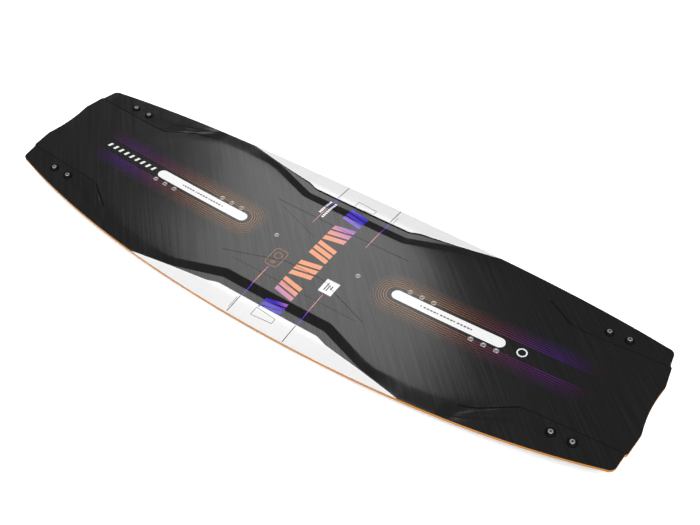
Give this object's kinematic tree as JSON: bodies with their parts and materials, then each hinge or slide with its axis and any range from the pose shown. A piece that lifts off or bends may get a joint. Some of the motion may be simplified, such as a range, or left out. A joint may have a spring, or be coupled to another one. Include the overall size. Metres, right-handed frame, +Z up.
{
  "type": "kiteboard",
  "caption": "Twin-tip kiteboard with a raised carbon deck over a wood core, orange edge rails, threaded inserts for pads and a handle, and bolted fins.",
  "frame": {"origin": "on the ground under the middle of the board, which stands deck up on its four fins", "axes": "+X along the board, +Y across it, +Z up out of the deck"},
  "size_m": [1.36, 0.416, 0.0626],
  "materials": {
    "carbon_deck": "satin clear coat over dark carbon cloth, with white, orange, pink and blue printed lines",
    "wood_core": "bare paulownia, sealed inside the laminates",
    "base_sheet": "smooth gloss sheet with plain bands",
    "orange_rail": "sanded ABS rail",
    "stainless_insert": "turned stainless steel",
    "stainless_screw": "stainless steel with a hexagon socket",
    "black_washer": "moulded black nylon cup washer",
    "brass_nut": "moulded-in threaded brass",
    "fin_plastic": "moulded glass-filled nylon"
  },
  "bodies": {
    "root": {"deck_laminate": "carbon_deck", "wood_core": "wood_core", "base_laminate": "base_sheet", "far_rail": "orange_rail", "near_rail": "orange_rail", "right_tip_rail": "orange_rail", "left_tip_rail": "orange_rail", "pad_insert_left_outer_1": "stainless_insert", "pad_insert_left_outer_2": "stainless_insert", "pad_insert_left_outer_3": "stainless_insert", "pad_insert_left_inner_1": "stainless_insert", "pad_insert_left_inner_2": "stainless_insert", "pad_insert_left_inner_3": "stainless_insert", "handle_insert_left": "stainless_insert", "pad_insert_right_outer_1": "stainless_insert", "pad_insert_right_outer_2": "stainless_insert", "pad_insert_right_outer_3": "stainless_insert", "pad_insert_right_inner_1": "stainless_insert", "pad_insert_right_inner_2": "stainless_insert", "pad_insert_right_inner_3": "stainless_insert", "handle_insert_right": "stainless_insert", "fin_washer_left_near_1": "black_washer", "fin_screw_left_near_1": "stainless_screw", "fin_nut_left_near_1": "brass_nut", "fin_washer_left_near_2": "black_washer", "fin_screw_left_near_2": "stainless_screw", "fin_nut_left_near_2": "brass_nut", "fin_left_near": "fin_plastic", "fin_washer_left_far_1": "black_washer", "fin_screw_left_far_1": "stainless_screw", "fin_nut_left_far_1": "brass_nut", "fin_washer_left_far_2": "black_washer", "fin_screw_left_far_2": "stainless_screw", "fin_nut_left_far_2": "brass_nut", "fin_left_far": "fin_plastic", "fin_washer_right_near_1": "black_washer", "fin_screw_right_near_1": "stainless_screw", "fin_nut_right_near_1": "brass_nut", "fin_washer_right_near_2": "black_washer", "fin_screw_right_near_2": "stainless_screw", "fin_nut_right_near_2": "brass_nut", "fin_right_near": "fin_plastic", "fin_washer_right_far_1": "black_washer", "fin_screw_right_far_1": "stainless_screw", "fin_nut_right_far_1": "brass_nut", "fin_washer_right_far_2": "black_washer", "fin_screw_right_far_2": "stainless_screw", "fin_nut_right_far_2": "brass_nut", "fin_right_far": "fin_plastic"}
  },
  "joints": []
}
